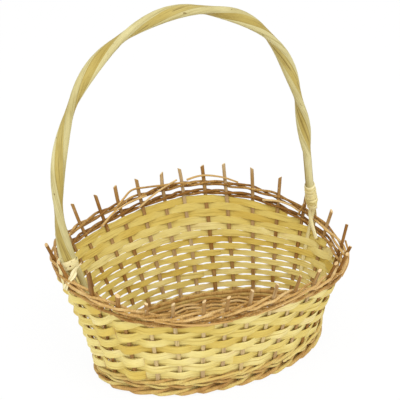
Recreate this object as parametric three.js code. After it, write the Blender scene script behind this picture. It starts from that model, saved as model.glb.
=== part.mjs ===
// Oval wicker gift basket with a fixed hoop handle. Millimetres, +Z up, resting on z = 0.
// X runs along the oval, from handle foot to handle foot. The basket is hand made, so its
// rim rises and falls a little and the oval is not quite even.
import * as THREE from "three";

// Oval and height of the wall, on the centre line of the stakes
const rimHalfX = 165;
const rimHalfY = 123;
const baseHalfX = 128;
const baseHalfY = 82;
const baseShift = new THREE.Vector2(6, -2);
const wallHeight = 127.5;
const flarePower = 1.29;
// Uneven rim: height waves and bulge waves, from once to four times round
const liftCos = [-12.8, -5.1, -7.8, 1.5];
const liftSin = [13.4, 3.3, 0.7, 0.1];
const bulgeCos = [0.009, -0.009, 0.0085, -0.0035];
const bulgeSin = [-0.0075, -0.0135, 0.009, 0.0105];

// Stakes, set in two runs between the handle feet
const stakeRadius = 2.2;
const stakeSides = 6;
const backStakes = 15;
const frontStakes = 15;
const stakeCount = backStakes + frontStakes;
const tipLength = 19;
const stakeBottom = 1.5;
// Waves in the spacing of the stakes: they crowd together on the two long sides
const crowdCos = [0, -0.165];
const crowdSin = [-0.04, -0.03];

// Gap left between pieces that touch
const gap = 0.35;

// Foot: a twined rope border that the basket stands on, then two thin rods
const ropeRadius = 2.5;
const ropeLift = 2.9;
const ropeSides = 5;
const ropeFlat = 0.9;
// Three samples from stake to stake, so a strand is highest a third of the way along
const peak = Math.sin(Math.PI / 3);
const ropeLevel = peak * ropeLift + ropeRadius * Math.cos(Math.PI / ropeSides) - ropeFlat;
const stickRadius = 1.6;
const stickLevel = ropeLevel + peak * ropeLift + ropeRadius + 2 * gap + stickRadius;
const waleRadius = 1.9;
const waleLift = 2.6;
const waleLevel = stickLevel + stickRadius + gap + waleLift + waleRadius;
const footTop = waleLevel + waleLift + waleRadius + 0.6;

// Border: two twined pairs of thin rods below the tips of the stakes
const borderRadius = 1.45;
const borderLift = 1.85;
const borderPitch = 9.6;
const borderHalf = borderLift + borderRadius;
const borderDepth = borderPitch + 2 * borderHalf;

// Woven bands: full rounds, and pairs of short rounds that only fill the high side
const bandThick = 0.9;
const bandShare = 0.86;
const bandOffset = stakeRadius + bandThick / 2 + gap + 0.15;
const lowRounds = 5;
const shortRounds = [
  { first: 3, last: 14 },
  { first: 1, last: 15 },
  { first: 0, last: 16 },
];

// Handle: two peeled rods twisted round each other, with feet inside the wall
const footAngleRight = 15.3;
const footAngleLeft = 188.6;
// Outline of the hoop from the left foot to the right one: share of the way, height
const hoopOutline = [
  [-0.02, 169], [-0.032, 220], [-0.016, 269], [0.042, 320], [0.11, 350], [0.19, 370],
  [0.29, 384], [0.41, 391.5], [0.51, 390], [0.61, 381.5], [0.71, 367.5], [0.8, 346],
  [0.875, 314], [0.935, 265], [0.968, 212], [0.986, 160],
];
const rodRadius = 4.1;
const rodTwist = rodRadius + 0.5;
const halfTurns = 7;
const footInset = 2 * borderRadius + rodRadius + gap + 1;
const legDepth = 78;

// Wrapping strips at the handle feet
const wrapWidth = 6.6;
const wrapThick = 0.9;
const wrapPitch = 7.4;
const wrapTurns = 3;
const calmHeight = (wrapTurns + 1) * wrapPitch;

// Base mat: one flat strip wound into an oval spiral, on three sticks
const matShare = 0.88;
const matThick = 1;
const matTurns = 9;
const matEdge = stakeRadius + 2 * gap + 0.2 + 2 * waleRadius + 6;
const matCoreX = 42;
const matCoreY = 0.4;

const UP = new THREE.Vector3(0, 0, 1);
const TURN = 2 * Math.PI;
const group = new THREE.Group();
group.name = "gift_basket";

const materials = {
  stake: new THREE.MeshStandardMaterial({ color: 0xa9784a, roughness: 0.75 }),
  band: new THREE.MeshStandardMaterial({ color: 0xe0cf7e, roughness: 0.6 }),
  border: new THREE.MeshStandardMaterial({ color: 0xb98a55, roughness: 0.7 }),
  foot: new THREE.MeshStandardMaterial({ color: 0xc9a25e, roughness: 0.7 }),
  peeled: new THREE.MeshStandardMaterial({ color: 0xe4d793, roughness: 0.55 }),
};

// The wall

function wave(cosines, sines, angle) {
  let sum = 0;
  for (let n = 0; n < cosines.length; n++) {
    sum += cosines[n] * Math.cos((n + 1) * angle) + sines[n] * Math.sin((n + 1) * angle);
  }
  return sum;
}

function rimHeight(angle) {
  return wallHeight + wave(liftCos, liftSin, angle);
}

// Point on the centre line of the stakes, at a height above the ground
function wallPoint(angle, z) {
  const flare = Math.max(z, 0) / rimHeight(angle);
  const share = flare ** flarePower;
  const bulge = 1 + wave(bulgeCos, bulgeSin, angle);
  const halfX = baseHalfX + (rimHalfX * bulge - baseHalfX) * share;
  const halfY = baseHalfY + (rimHalfY * bulge - baseHalfY) * share;
  return new THREE.Vector3(
    halfX * Math.cos(angle) + baseShift.x * (1 - share),
    halfY * Math.sin(angle) + baseShift.y * (1 - share),
    z,
  );
}

// Directions at a wall point: along the oval, up the wall and outwards
function wallAxes(angle, z) {
  const step = 0.002;
  const along = wallPoint(angle + step, z).sub(wallPoint(angle - step, z)).normalize();
  const rise = wallPoint(angle, z + 1).sub(wallPoint(angle, Math.max(z - 1, 0))).normalize();
  const out = along.clone().cross(rise).normalize();
  return { along, up: out.clone().cross(along).normalize(), out };
}

// Stake numbers as positions round the oval: stake n stands at n, and the handle feet
// stand halfway between two stakes
const footRight = THREE.MathUtils.degToRad(footAngleRight);
const footLeft = THREE.MathUtils.degToRad(footAngleLeft);

function arcTable(from, to) {
  const steps = 400;
  const lengths = [0];
  const at = (k) => from + ((to - from) * k) / steps;
  for (let k = 1; k <= steps; k++) {
    const a = wallPoint(at(k - 1), rimHeight(at(k - 1)));
    const b = wallPoint(at(k), rimHeight(at(k)));
    const crowd = 1 + wave(crowdCos, crowdSin, at(k - 0.5));
    lengths.push(lengths[k - 1] + a.distanceTo(b) * crowd);
  }
  return (share) => {
    const wanted = share * lengths[steps];
    let k = 1;
    while (k < steps && lengths[k] < wanted) k++;
    const part = (wanted - lengths[k - 1]) / (lengths[k] - lengths[k - 1]);
    return at(k - 1 + part);
  };
}

const backArc = arcTable(footRight, footLeft);
const frontArc = arcTable(footLeft, footRight + TURN);

function angleAt(position) {
  const turns = Math.floor((position + 0.5) / stakeCount);
  const local = position + 0.5 - turns * stakeCount;
  const angle = local <= backStakes
    ? backArc(local / backStakes)
    : frontArc((local - backStakes) / frontStakes);
  return angle + turns * TURN;
}

// The middle of the gap between two stakes that lies nearest to an angle in degrees
function gapNear(degrees) {
  let best = 0.5;
  const miss = (p) => {
    const off = THREE.MathUtils.euclideanModulo(
      angleAt(p) - THREE.MathUtils.degToRad(degrees) + Math.PI, TURN);
    return Math.abs(off - Math.PI);
  };
  for (let n = 0; n < stakeCount; n++) {
    if (miss(n + 0.5) < miss(best)) best = n + 0.5;
  }
  return angleAt(best);
}

// Closed solids from rings of points

function solid(rings, closed) {
  const sides = rings[0].length;
  const points = rings.flat();
  const faces = [];
  const last = closed ? rings.length : rings.length - 1;
  for (let r = 0; r < last; r++) {
    const next = (r + 1) % rings.length;
    for (let s = 0; s < sides; s++) {
      const a = r * sides + s;
      const b = r * sides + ((s + 1) % sides);
      const c = next * sides + s;
      const d = next * sides + ((s + 1) % sides);
      faces.push([a, b, d], [a, d, c]);
    }
  }
  if (!closed) {
    const end = (rings.length - 1) * sides;
    for (let s = 1; s < sides - 1; s++) {
      faces.push([0, s + 1, s], [end, end + s, end + s + 1]);
    }
  }
  let volume = 0;
  for (const [a, b, c] of faces) {
    volume += points[a].dot(points[b].clone().cross(points[c]));
  }
  if (volume < 0) faces.forEach((f) => f.reverse());
  const geometry = new THREE.BufferGeometry().setFromPoints(points);
  geometry.setIndex(faces.flat());
  geometry.computeVertexNormals();
  return geometry;
}

function addMesh(name, geometry, material) {
  const mesh = new THREE.Mesh(geometry, material);
  mesh.name = name;
  group.add(mesh);
}

// Ring of points in the plane of two axes
function roundSection(centre, axisA, axisB, radius, sides) {
  const ring = [];
  for (let s = 0; s < sides; s++) {
    const turn = ((s + 0.5) / sides) * TURN - Math.PI / 2;
    ring.push(centre.clone()
      .addScaledVector(axisA, radius * Math.cos(turn))
      .addScaledVector(axisB, radius * Math.sin(turn)));
  }
  return ring;
}

function flatSection(centre, thickAxis, thick, wideAxis, wide) {
  const corners = [[-1, -1], [1, -1], [1, 1], [-1, 1]];
  return corners.map(([t, w]) => centre.clone()
    .addScaledVector(thickAxis, (t * thick) / 2)
    .addScaledVector(wideAxis, (w * wide) / 2));
}

function numbered(name, n) {
  return name + "_" + String(n + 1).padStart(2, "0");
}

// Stakes

function addStake(n) {
  const angle = angleAt(n);
  const top = rimHeight(angle) + tipLength;
  const levels = [stakeBottom, 14, 38, 70, rimHeight(angle) - 22, top];
  const rings = levels.map((z) => {
    const { along, out } = wallAxes(angle, z);
    return roundSection(wallPoint(angle, z), along, out, stakeRadius, stakeSides);
  });
  addMesh(numbered("stake", n), solid(rings, false), materials.stake);
}

// Twined rods that run round the stakes, each in front of one stake and behind the next

function twinedRod(level, radius, lift, sides, side) {
  const swing = stakeRadius + gap + radius + 0.2;
  const rings = [];
  const perStake = 3;
  for (let k = 0; k < stakeCount * perStake; k++) {
    const position = k / perStake;
    const angle = angleAt(position);
    const z = level(angle);
    const phase = Math.PI * position;
    const { up, out } = wallAxes(angle, z);
    const centre = wallPoint(angle, z)
      .addScaledVector(out, side * swing * Math.cos(phase))
      .addScaledVector(up, side * lift * Math.sin(phase));
    const ring = roundSection(centre, out, up, radius, sides);
    ring.forEach((p) => { p.z = Math.max(p.z, 0); });
    rings.push(ring);
  }
  return solid(rings, true);
}

function addTwinedPair(name, level, radius, lift, sides, material) {
  addMesh(name + "_a", twinedRod(level, radius, lift, sides, 1), material);
  addMesh(name + "_b", twinedRod(level, radius, lift, sides, -1), material);
}

// Woven bands

function smooth(x) {
  return THREE.MathUtils.smoothstep(x, 0, 1);
}

// The order of rounds up the high side, and how far each has opened at a position
const rounds = [];
for (let n = 0; n < lowRounds; n++) rounds.push({ full: true });
for (const span of shortRounds) {
  rounds.push({ full: false, ...span }, { full: false, ...span }, { full: true });
}

function opening(round, position) {
  if (round.full) return 1;
  const wrapped = position > (round.last + stakeCount + round.first) / 2
    ? position - stakeCount : position;
  const start = smooth((wrapped - round.first + 1.7) / 1.3);
  const end = smooth((round.last + 1.7 - wrapped) / 1.3);
  return start * end;
}

// Middle height and width of a round at a position
function bandPlace(index, position) {
  const local = THREE.MathUtils.euclideanModulo(position, stakeCount);
  const shares = rounds.map((round) => opening(round, local));
  const total = shares.reduce((a, b) => a + b, 0);
  const below = shares.slice(0, index).reduce((a, b) => a + b, 0);
  const angle = angleAt(position);
  const room = rimHeight(angle) - borderDepth - 0.8 - footTop;
  const pitch = room / total;
  return { angle, z: footTop + pitch * (below + shares[index] / 2), wide: pitch * bandShare };
}

function addBand(index) {
  const round = rounds[index];
  const from = round.full ? 0 : round.first - 0.35;
  const to = round.full ? stakeCount - 0.5 : round.last + 0.35;
  const positions = [];
  if (!round.full) positions.push(from);
  for (let p = Math.ceil(2 * from) / 2; p <= to; p += 0.5) positions.push(p);
  if (!round.full) positions.push(to);
  const rings = positions.map((position) => {
    const { angle, z, wide } = bandPlace(index, position);
    const { up, out } = wallAxes(angle, z);
    const centre = wallPoint(angle, z)
      .addScaledVector(out, bandOffset * Math.cos(Math.PI * (position + index)));
    return flatSection(centre, out, bandThick, up, wide);
  });
  addMesh(numbered("band", index), solid(rings, round.full), materials.band);
}

// Handle

// A foot stands inside the wall; drop is how far below the top of the rim
function footPoint(angle, drop) {
  const z = rimHeight(angle) - drop;
  return wallPoint(angle, z).addScaledVector(wallAxes(angle, z).out, -footInset);
}

function handleCurve() {
  const right = footPoint(footRight, 0);
  const left = footPoint(footLeft, 0);
  const points = [];
  const drops = [legDepth, legDepth / 2, 14];
  drops.forEach((drop) => points.push(footPoint(footRight, drop)));
  points.push(right);
  for (const [share, height] of [...hoopOutline].reverse()) {
    points.push(left.clone().lerp(right, share).setZ(height));
  }
  points.push(left);
  drops.reverse().forEach((drop) => points.push(footPoint(footLeft, drop)));
  return new THREE.CatmullRomCurve3(points, false, "centripetal");
}

const hoop = handleCurve();
const hoopSide = new THREE.Vector3()
  .subVectors(footPoint(footRight, 0), footPoint(footLeft, 0)).cross(UP).normalize();

// Share of the hoop's length at which one of its sides reaches a height
function hoopShare(z, right) {
  let low = 0;
  let high = 0.5;
  for (let k = 0; k < 30; k++) {
    const middle = (low + high) / 2;
    const here = hoop.getPointAt(right ? middle : 1 - middle).z;
    if (here < z) low = middle;
    else high = middle;
  }
  return right ? low : 1 - low;
}

// Cross axes of the hoop: along the wall at the feet, across the hoop's own plane above
function hoopAxes(share) {
  const foot = share < 0.5 ? footRight : footLeft;
  const centre = hoop.getPointAt(share);
  const ahead = hoop.getTangentAt(share);
  const along = wallAxes(foot, rimHeight(foot)).along;
  if (along.dot(hoopSide) < 0) along.negate();
  const free = smooth((centre.z - rimHeight(foot) - calmHeight) / 70);
  const side = along.lerp(hoopSide, free);
  side.addScaledVector(ahead, -side.dot(ahead)).normalize();
  return { centre, side, over: side.clone().cross(ahead).normalize() };
}

function addHandleRod(name, start) {
  const steps = 60;
  const legShare = hoopShare(rimHeight(footRight), true);
  const from = hoopShare(rimHeight(footRight) + calmHeight, true);
  const to = hoopShare(rimHeight(footLeft) + calmHeight, false);
  const rings = [];
  for (let k = 0; k <= steps; k++) {
    const share = k / steps;
    const arch = THREE.MathUtils.clamp((share - from) / (to - from), 0, 1);
    const phase = start + Math.PI * halfTurns * arch;
    const { centre, side, over } = hoopAxes(share);
    const taper = THREE.MathUtils.clamp(Math.min(share, 1 - share) / legShare, 0, 1);
    centre.addScaledVector(side, rodTwist * Math.cos(phase))
      .addScaledVector(over, rodTwist * Math.sin(phase));
    rings.push(roundSection(centre, side, over, rodRadius * (0.55 + 0.45 * taper), 6));
  }
  addMesh(name, solid(rings, false), materials.peeled);
}

// A strip wound round both rods just above the rim, with its tail over the border
function addBinding(name, angle, right) {
  const rim = rimHeight(angle);
  const level = rim + wrapWidth / 2 + 1.2;
  const round = rodRadius + gap + wrapThick / 2 + 0.95;
  const rings = [];
  const perTurn = 12;
  for (let k = 0; k <= wrapTurns * perTurn; k++) {
    const turn = (k / perTurn) * TURN;
    const z = level + wrapPitch * (wrapTurns - k / perTurn);
    const { centre, side } = hoopAxes(hoopShare(z, right));
    const along = side.clone().setZ(0).normalize();
    if (along.dot(wallAxes(angle, rim).along) < 0) along.negate();
    const out = along.clone().cross(UP);
    const normal = along.clone().multiplyScalar(Math.sin(turn))
      .addScaledVector(out, Math.cos(turn));
    const apart = THREE.MathUtils.clamp(2.2 * Math.sin(turn), -1, 1) * rodTwist;
    centre.addScaledVector(along, apart).addScaledVector(normal, round);
    rings.push(flatSection(centre, normal, wrapThick, UP, wrapWidth));
  }
  // rise above the rim, distance outwards, distance along and turn of the strip in degrees
  const clear = stakeRadius + 2 * borderRadius + wrapThick + 0.4;
  const tail = [
    [6, -1, 4, 20],
    [4.5, 4, 8, 45],
    [-2, clear, 10, 65],
    [-14, clear, 8.5, 90],
    [-34, clear, 2, 105],
  ];
  tail.forEach(([rise, outwards, shift, degrees]) => {
    const z = rim + rise;
    const axes = wallAxes(angle, z);
    const centre = wallPoint(angle, z)
      .addScaledVector(axes.out, outwards)
      .addScaledVector(axes.along, shift);
    const tilt = THREE.MathUtils.degToRad(degrees);
    const wide = axes.up.clone().multiplyScalar(Math.cos(tilt))
      .addScaledVector(axes.along, Math.sin(tilt));
    rings.push(flatSection(centre, axes.out, wrapThick, wide, wrapWidth));
  });
  addMesh(name, solid(rings, false), materials.peeled);
}

// Base

// Point of the spiral: level counts the turns from the outer edge inwards
function matPoint(turn, level) {
  const share = level / (matTurns + 1);
  const halfX = THREE.MathUtils.lerp(baseHalfX - matEdge, matCoreX, share);
  const halfY = THREE.MathUtils.lerp(baseHalfY - matEdge, matCoreY, share);
  return new THREE.Vector3(
    baseShift.x + halfX * Math.cos(turn), baseShift.y + halfY * Math.sin(turn), 0);
}

function addMat() {
  const level = stickLevel + stickRadius + gap;
  const rings = [];
  const perTurn = 20;
  for (let k = 0; k <= matTurns * perTurn; k++) {
    const turn = (k / perTurn) * TURN;
    const edges = [matPoint(turn, k / perTurn), matPoint(turn, k / perTurn + matShare)];
    const [outer, inner] = edges;
    rings.push([
      outer.clone().setZ(level),
      inner.clone().setZ(level),
      inner.clone().setZ(level + matThick),
      outer.clone().setZ(level + matThick),
    ]);
  }
  addMesh("base_mat", solid(rings, false), materials.band);
}

function addStick(name, fromDegrees, toDegrees, humps) {
  const ends = [fromDegrees, toDegrees].map((degrees) => {
    const angle = gapNear(degrees);
    return wallPoint(angle, stickLevel)
      .addScaledVector(wallAxes(angle, stickLevel).out, 4).setZ(stickLevel);
  });
  const over = stickRadius * 2 + matThick + 2 * gap;
  const ahead = ends[1].clone().sub(ends[0]).normalize();
  const side = ahead.clone().cross(UP);
  const shares = humps ? [0, 0.043, 0.068, 0.3, 0.7, 0.932, 0.957, 1] : [0, 0.5, 1];
  const rings = shares.map((share) => {
    const centre = ends[0].clone().lerp(ends[1], share);
    if (humps && share > 0.06 && share < 0.94) centre.z += over;
    return roundSection(centre, side, UP, stickRadius, 6);
  });
  addMesh(name, solid(rings, false), materials.stake);
}

// The whole basket

for (let n = 0; n < stakeCount; n++) addStake(n);
for (let n = 0; n < rounds.length; n++) addBand(n);
addTwinedPair("foot_rope", () => ropeLevel, ropeRadius, ropeLift, ropeSides, materials.foot);
addTwinedPair("foot_wale", () => waleLevel, waleRadius, waleLift, 5, materials.foot);
const lowBorder = (angle) => rimHeight(angle) - borderPitch - borderHalf;
const topBorder = (angle) => rimHeight(angle) - borderHalf;
addTwinedPair("border_low", lowBorder, borderRadius, borderLift, 5, materials.border);
addTwinedPair("border_top", topBorder, borderRadius, borderLift, 5, materials.border);
addHandleRod("handle_rod_a", 0);
addHandleRod("handle_rod_b", Math.PI);
addBinding("binding_right", footRight, true);
addBinding("binding_left", footLeft, false);
addMat();
addStick("base_stick_long", 3, 183, true);
addStick("base_stick_cross_a", 68, -68, false);
addStick("base_stick_cross_b", 112, -112, false);

// The origin is the middle of the footprint
const box = new THREE.Box3().setFromObject(group);
group.position.set(-(box.min.x + box.max.x) / 2, -(box.min.y + box.max.y) / 2, 0);

export default group;
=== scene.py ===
"""Woven gift basket: an oval wall of pale strips on brown stakes, with a twisted hoop handle."""
import math
import random
from bisect import bisect_right

import bpy
from bpy.props import FloatProperty, FloatVectorProperty, IntProperty, PointerProperty
from mathutils import Matrix, Vector, noise


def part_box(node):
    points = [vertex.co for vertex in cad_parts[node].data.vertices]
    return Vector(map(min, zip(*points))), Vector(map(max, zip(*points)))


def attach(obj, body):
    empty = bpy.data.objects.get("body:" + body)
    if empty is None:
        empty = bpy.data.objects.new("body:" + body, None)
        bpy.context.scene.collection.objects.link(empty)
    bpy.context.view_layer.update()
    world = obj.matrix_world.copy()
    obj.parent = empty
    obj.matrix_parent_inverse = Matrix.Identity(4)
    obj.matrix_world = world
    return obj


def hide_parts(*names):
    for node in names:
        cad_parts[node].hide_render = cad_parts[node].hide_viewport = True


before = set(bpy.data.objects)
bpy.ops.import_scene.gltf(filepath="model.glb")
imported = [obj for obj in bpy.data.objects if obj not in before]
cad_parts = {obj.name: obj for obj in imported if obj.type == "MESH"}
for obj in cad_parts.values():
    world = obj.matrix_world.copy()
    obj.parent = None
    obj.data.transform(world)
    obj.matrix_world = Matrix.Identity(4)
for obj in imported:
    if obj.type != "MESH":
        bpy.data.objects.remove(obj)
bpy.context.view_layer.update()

bl_info = {
    "name": "Woven Gift Basket",
    "version": (1, 0, 0),
    "blender": (4, 5, 0),
    "location": "View3D > Sidebar > Basket",
    "description": "Builds a woven oval gift basket with a hoop handle on its packed frame",
    "category": "Object",
}

TURN = 2 * math.pi
UP = Vector((0, 0, 1))

# Measures of the wall, in millimetres as in the part's source. The waves are the amounts of
# the cosines and of the sines that run once, twice and so on round the oval.
RIM_HALF = (165, 123)
BASE_HALF = (128, 82)
BASE_SHIFT = (6, -2)
WALL_HEIGHT = 127.5
FLARE_POWER = 1.29
LIFT_WAVES = ((-12.8, -5.1, -7.8, 1.5), (13.4, 3.3, 0.7, 0.1))
BULGE_WAVES = ((0.009, -0.009, 0.0085, -0.0035), (-0.0075, -0.0135, 0.009, 0.0105))
CROWD_WAVES = ((0, -0.165), (-0.04, -0.03))
FOOT_RIGHT = math.radians(15.3)
FOOT_LEFT = math.radians(188.6)
BACK_STAKES = 15
STAKES = 30
FULL_ROUNDS = 8
FOOT_TOP = 22.5
BORDER_DEPTH = 16.2
BORDER_PITCH = 9.6
BORDER_HALF = 3.3

# Measures of the base and the handle, as in the part's source
STICK_LEVEL = 10.94
MAT_EDGE = 12.7
MAT_CORE = (42, 0.4)
FOOT_INSET = 8.35
LEG_DEPTH = 78
HOOP_OUTLINE = (
    (-0.02, 169), (-0.032, 220), (-0.016, 269), (0.042, 320), (0.11, 350), (0.19, 370),
    (0.29, 384), (0.41, 391.5), (0.51, 390), (0.61, 381.5), (0.71, 367.5), (0.8, 346),
    (0.875, 314), (0.935, 265), (0.968, 212), (0.986, 160),
)

# Where the source's origin lies in the frame, in millimetres
ORIGIN = Vector((-3.0761, 2.3398, 0))

# Half width of a stake as in the source, and its half depth, less than in the source, so
# that the strips over it bulge less
STAKE_RADIUS = 2.2
STAKE_DEPTH = 1.25

# How many rows the wall holds at a position; the short ones run out under the border
ROW_COUNT = (
    (-3.3, 8), (-2.5, 8.4), (-2, 9), (-1.5, 9.8), (-1, 10.8), (-0.5, 11.6), (0, 12.3),
    (0.5, 13.2), (1, 13.6), (1.6, 14), (13.8, 14), (14.5, 13.4), (15, 12), (15.5, 10.5),
    (16, 9.4), (16.5, 8.7), (17, 8.3), (17.7, 8),
)

# Stakes listed one by one: how far each strays along the wall at the rim and at its tip, and how
# much shorter than the rest it is
STRAY = {
    2: (0.4, 1.2, 0), 3: (3, 3.6, 0), 4: (0, 0, 3.5), 5: (-1, -0.6, 4.5), 6: (-4, -7, 5),
    7: (-1.2, -3, 4), 8: (0, -3.2, 2.5), 9: (-2, -3.8, 2.5), 10: (3.5, 1, -0.5),
    12: (-8, -24, 16), 13: (14, 16, 2), 14: (26, 15, 5), 15: (25, 35, -18), 16: (16, 23, 2),
    17: (11, 15, 4), 18: (6, 8.5, 2), 19: (7, 8.5, 0), 20: (2.5, 4, 0.5),
    27: (2.5, -2, 4), 28: (-1.5, 6, -1), 29: (0.4, -0.4, 3),
}

# How much thicker than the rest a stake is at its tip
STOUT = {15: 0.45, 16: 0.2}


def wave(amounts, angle):
    """Sum of waves round the oval."""
    cosines, sines = amounts
    return sum(
        c * math.cos((n + 1) * angle) + s * math.sin((n + 1) * angle)
        for n, (c, s) in enumerate(zip(cosines, sines))
    )


def smooth(x):
    """Eases from 0 to 1 as x goes from 0 to 1."""
    x = min(max(x, 0), 1)
    return x * x * (3 - 2 * x)


def rim_height(angle):
    """Height of the rim above the ground."""
    return WALL_HEIGHT + wave(LIFT_WAVES, angle)


def wall_point(angle, z):
    """Point on the centre line of the stakes at a height above the ground."""
    share = (max(z, 0) / rim_height(angle)) ** FLARE_POWER
    bulge = 1 + wave(BULGE_WAVES, angle)
    half_x = BASE_HALF[0] + (RIM_HALF[0] * bulge - BASE_HALF[0]) * share
    half_y = BASE_HALF[1] + (RIM_HALF[1] * bulge - BASE_HALF[1]) * share
    return Vector((
        half_x * math.cos(angle) + BASE_SHIFT[0] * (1 - share),
        half_y * math.sin(angle) + BASE_SHIFT[1] * (1 - share),
        z,
    ))


def wall_axes(angle, z):
    """Directions along the oval, up the wall and outwards."""
    nudge = 0.002
    along = (wall_point(angle + nudge, z) - wall_point(angle - nudge, z)).normalized()
    rise = wall_point(angle, z + 1) - wall_point(angle, max(z - 1, 0))
    out = along.cross(rise.normalized()).normalized()
    return along, out.cross(along), out


def arc_table(start, end):
    """Gives the angle at a share of a run of stakes, which crowd on the long sides."""
    steps = 400
    angles = [start + (end - start) * k / steps for k in range(steps + 1)]
    rims = [wall_point(a, rim_height(a)) for a in angles]
    lengths = [0]
    for k in range(steps):
        crowd = 1 + wave(CROWD_WAVES, (angles[k] + angles[k + 1]) / 2)
        lengths.append(lengths[-1] + (rims[k + 1] - rims[k]).length * crowd)

    def at(share):
        wanted = share * lengths[-1]
        k = min(max(bisect_right(lengths, wanted) - 1, 0), steps - 1)
        part = (wanted - lengths[k]) / (lengths[k + 1] - lengths[k])
        return angles[k] + (angles[k + 1] - angles[k]) * part

    return at


back_run = arc_table(FOOT_RIGHT, FOOT_LEFT)
front_run = arc_table(FOOT_LEFT, FOOT_RIGHT + TURN)


def angle_at(position):
    """Stake n stands at position n, and the handle's feet at -0.5 and 14.5."""
    turns, local = divmod(position + 0.5, STAKES)
    if local <= BACK_STAKES:
        angle = back_run(local / BACK_STAKES)
    else:
        angle = front_run((local - BACK_STAKES) / (STAKES - BACK_STAKES))
    return angle + turns * TURN


def rim_at(position):
    """Height of the rim at a position."""
    return rim_height(angle_at(position))


def stray_at(position):
    """How far the stakes near a position stray at the rim, eased from one to the next."""
    low = math.floor(position)
    near = [STRAY.get((low + k) % STAKES, (0, 0, 0))[0] for k in (0, 1)]
    return near[0] + (near[1] - near[0]) * smooth(position - low)


def place(position, z, angle=None):
    """Centre of the wall at a position and height, and its three directions."""
    if angle is None:
        angle = angle_at(position)
    along, up, out = wall_axes(angle, z)
    share = min(z / rim_height(angle), 1)
    return wall_point(angle, z) + along * stray_at(position) * share, along, up, out


def spot(position, out, rise):
    """Point beside the wall: a distance out from its centre and above its rim."""
    angle = angle_at(position)
    z = rim_height(angle) + rise
    return wall_point(angle, z) + wall_axes(angle, z)[2] * out


def side_of(position):
    """1 outside and -1 inside the stakes; the handle's leg counts with the stake beside it."""
    low = math.floor(position)
    part = position - low
    if low % STAKES == STAKES - 1:
        part = part * 2 if part < 0.25 else 0.5 + (part - 0.25) / 1.5
    return math.cos(math.pi * (low + part))


def wander(position, seed, scale):
    """Slow irregular drift between -1 and 1 that closes round the oval."""
    turn = TURN * position / STAKES
    here = Vector((math.cos(turn), math.sin(turn), 0)) * scale * 2
    return noise.noise(here + Vector((seed * 3.7, seed * 1.3, seed * 7.1)))


# Swept rods and strips


class Strands:
    """Gathers rods and strips, each a run of rings, into one mesh with its own UV map."""

    def __init__(self):
        self.points, self.faces, self.slots = [], [], []
        self.uvs, self.tones, self.turns = [], [], []

    def add(self, rings, tone, closed=False, roll=0.0):
        """rings: lists of points in millimetres; tone: one value, or one for each ring. The
        open ends get a rounded, pale cut."""
        tones = list(tone) if isinstance(tone, list) else [tone] * len(rings)
        if not closed:
            ends = self.shrunk(rings[0], rings[1]), self.shrunk(rings[-1], rings[-2])
            rings = [ends[0]] + rings + [ends[1]]
            tones = [tones[0]] + tones + [tones[-1]]
        sides = len(rings[0])
        start = len(self.points)
        centres = [sum(ring, Vector()) / sides for ring in rings]
        girth = sum((rings[1][s] - rings[1][s - 1]).length for s in range(sides)) / 1000
        along = [roll]
        for a, b in zip(centres, centres[1:] + centres[:1]):
            along.append(along[-1] + (b - a).length / 1000)
        for ring, own in zip(rings, tones):
            self.points.extend(ring)
            self.tones.extend([own] * sides)
            self.turns.extend(s / sides for s in range(sides))
        count = len(rings)
        for r in range(count if closed else count - 1):
            here, there = start + r * sides, start + (r + 1) % count * sides
            end = not closed and r in (0, count - 2)
            for s in range(sides):
                t = (s + 1) % sides
                self.faces.append((here + s, here + t, there + t, there + s))
                low, high = s / sides * girth, (s + 1) / sides * girth
                for u, v in ((r, low), (r, high), (r + 1, high), (r + 1, low)):
                    self.uvs.extend((along[u], v))
                self.slots.append(1 if end else 0)
        if not closed:
            self.cap(start, sides, True)
            self.cap(start + (count - 1) * sides, sides, False)

    def cap(self, first, sides, flip):
        """Closes the end of a strand."""
        face = [first + s for s in range(sides)]
        self.faces.append(tuple(reversed(face)) if flip else tuple(face))
        spread = 0.002
        for s in range(sides):
            turn = TURN * s / sides
            self.uvs.extend((spread * math.cos(turn), spread * math.sin(turn)))
        self.slots.append(1)

    @staticmethod
    def shrunk(ring, inner):
        """A smaller ring just past an end, which rounds its edge."""
        centre = sum(ring, Vector()) / len(ring)
        ahead = centre - sum(inner, Vector()) / len(inner)
        reach = min((p - centre).length for p in ring) * 0.25
        ahead = ahead.normalized() * reach
        return [centre + (p - centre) * 0.8 + ahead for p in ring]

    def rest_on_ground(self):
        """Flattens what would sink below the ground."""
        self.points = [Vector((p.x, p.y, max(p.z, 0))) for p in self.points]

    def make(self, name, materials, sharp):
        """One object at the origin, in metres, with edges over an angle in degrees sharp."""
        if not self.faces:
            raise RuntimeError("nothing was drawn for " + name)
        mesh = bpy.data.meshes.new(name)
        mesh.from_pydata([(p + ORIGIN) / 1000 for p in self.points], [], self.faces)
        mesh.uv_layers.new(name="UVMap").data.foreach_set("uv", self.uvs)
        mesh.attributes.new("tone", "FLOAT", "POINT").data.foreach_set("value", self.tones)
        mesh.attributes.new("turn", "FLOAT", "POINT").data.foreach_set("value", self.turns)
        mesh.polygons.foreach_set("material_index", self.slots)
        for material in materials:
            mesh.materials.append(material)
        mesh.update()
        made = bpy.data.objects.new(name, mesh)
        bpy.context.collection.objects.link(made)
        bpy.ops.object.select_all(action="DESELECT")
        made.select_set(True)
        bpy.context.view_layer.objects.active = made
        bpy.ops.object.mode_set(mode="EDIT")
        bpy.ops.mesh.select_all(action="SELECT")
        bpy.ops.mesh.normals_make_consistent(inside=False)
        bpy.ops.object.mode_set(mode="OBJECT")
        bpy.ops.object.shade_smooth_by_angle(angle=math.radians(sharp))
        return made


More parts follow.
